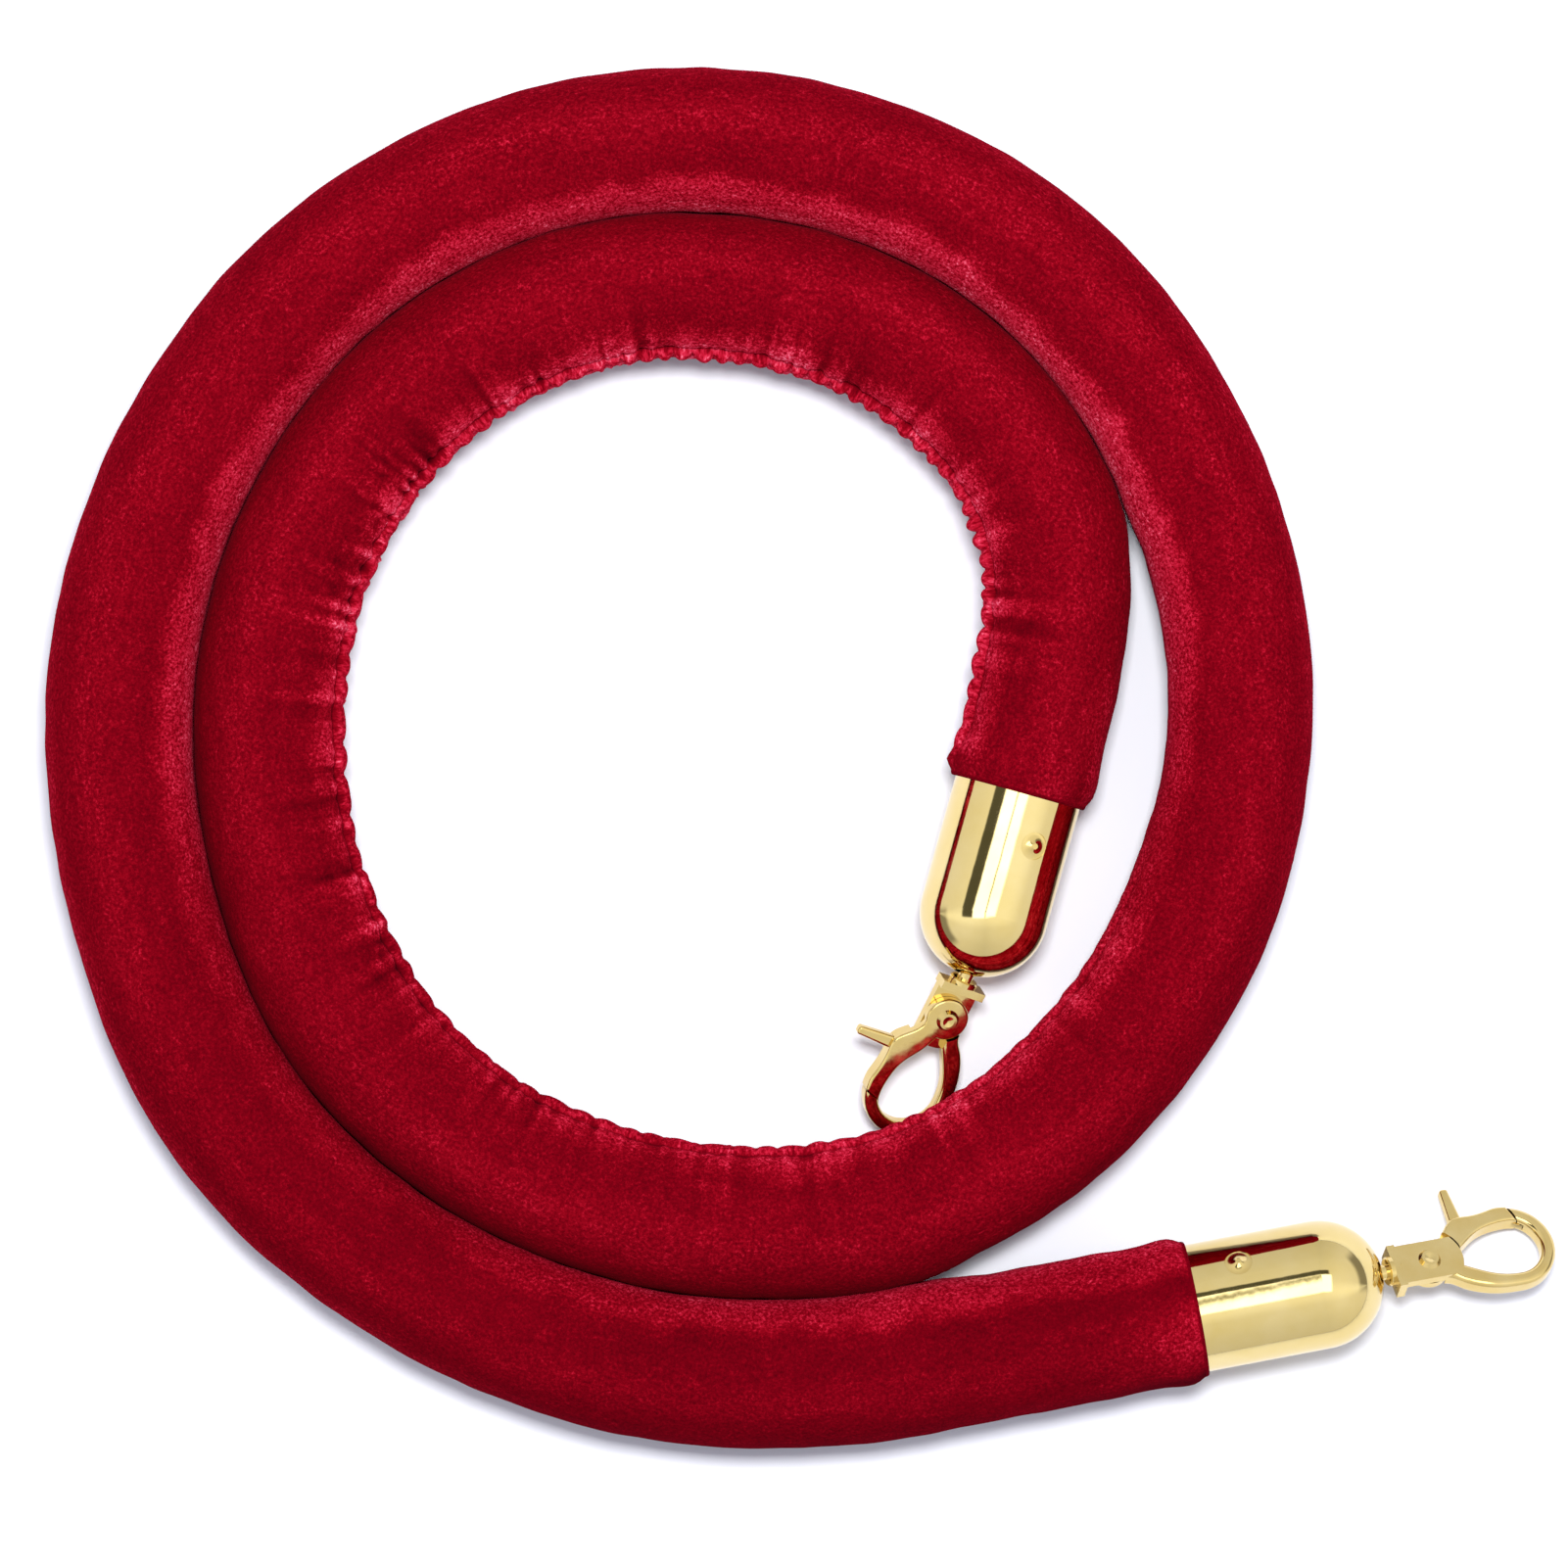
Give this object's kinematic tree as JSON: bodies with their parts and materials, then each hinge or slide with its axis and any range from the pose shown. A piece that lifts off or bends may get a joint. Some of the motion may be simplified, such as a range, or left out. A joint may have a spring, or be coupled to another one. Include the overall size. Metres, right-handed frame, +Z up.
{
  "type": "velvet barrier rope",
  "caption": "Padded velvet barrier rope, coiled flat in a loose spiral, with a domed metal end cap and a swivelling trigger snap hook at each end.",
  "frame": {"origin": "middle of the whole object's box in X and Y, on the floor it lies on", "axes": "+Z up from the floor; +X along the longest side of the coil, to the end with the outer hook"},
  "size_m": [0.328, 0.3007, 0.032],
  "materials": {
    "velvet": "crimson cut-pile velvet",
    "cotton_filler": "raw cotton waste core",
    "gold_plate": "polished pale gold plate",
    "plug_wood": "plain turned wood",
    "spring_steel": "bright spring steel"
  },
  "bodies": {
    "rope": {"velvet_sleeve": "velvet", "filler_rod": "cotton_filler", "end_cap_a": "gold_plate", "core_plug_a": "plug_wood", "cap_screw_upper_a": "gold_plate", "cap_screw_lower_a": "gold_plate", "end_cap_b": "gold_plate", "core_plug_b": "plug_wood", "cap_screw_upper_b": "gold_plate", "cap_screw_lower_b": "gold_plate"},
    "hook_a": {"swivel_rivet_a": "gold_plate", "swivel_washer_a": "spring_steel", "swivel_collar_a": "gold_plate", "hook_body_a": "gold_plate", "pivot_rivet_a": "gold_plate", "trigger_spring_a": "spring_steel"},
    "trigger_a": {"hook_trigger_a": "gold_plate"},
    "hook_b": {"swivel_rivet_b": "gold_plate", "swivel_washer_b": "spring_steel", "swivel_collar_b": "gold_plate", "hook_body_b": "gold_plate", "pivot_rivet_b": "gold_plate", "trigger_spring_b": "spring_steel"},
    "trigger_b": {"hook_trigger_b": "gold_plate"}
  },
  "joints": [
    {"name": "swivel_a", "type": "hinge", "parent": "rope", "child": "hook_a", "pos_m": [0.0363, -0.04638, 0.016], "axis": [-0.431, -0.8644, -0.2588], "continuous": true},
    {"name": "trigger_a", "type": "hinge", "parent": "hook_a", "child": "trigger_a", "pos_m": [0.03156, -0.05589, 0.01315], "axis": [0.2282, -0.3819, 0.8956], "range_deg": [0, 22], "stiffness_Nm_per_rad": 0.01, "springref_deg": -20.05},
    {"name": "swivel_b", "type": "hinge", "parent": "rope", "child": "hook_b", "pos_m": [0.12547, -0.11124, 0.016], "axis": [0.954, 0.1511, -0.2588], "continuous": true},
    {"name": "trigger_b", "type": "hinge", "parent": "hook_b", "child": "trigger_b", "pos_m": [0.13596, -0.10958, 0.01315], "axis": [-0.1245, -0.5859, -0.8008], "range_deg": [0, 22], "stiffness_Nm_per_rad": 0.01, "springref_deg": -20.05}
  ]
}
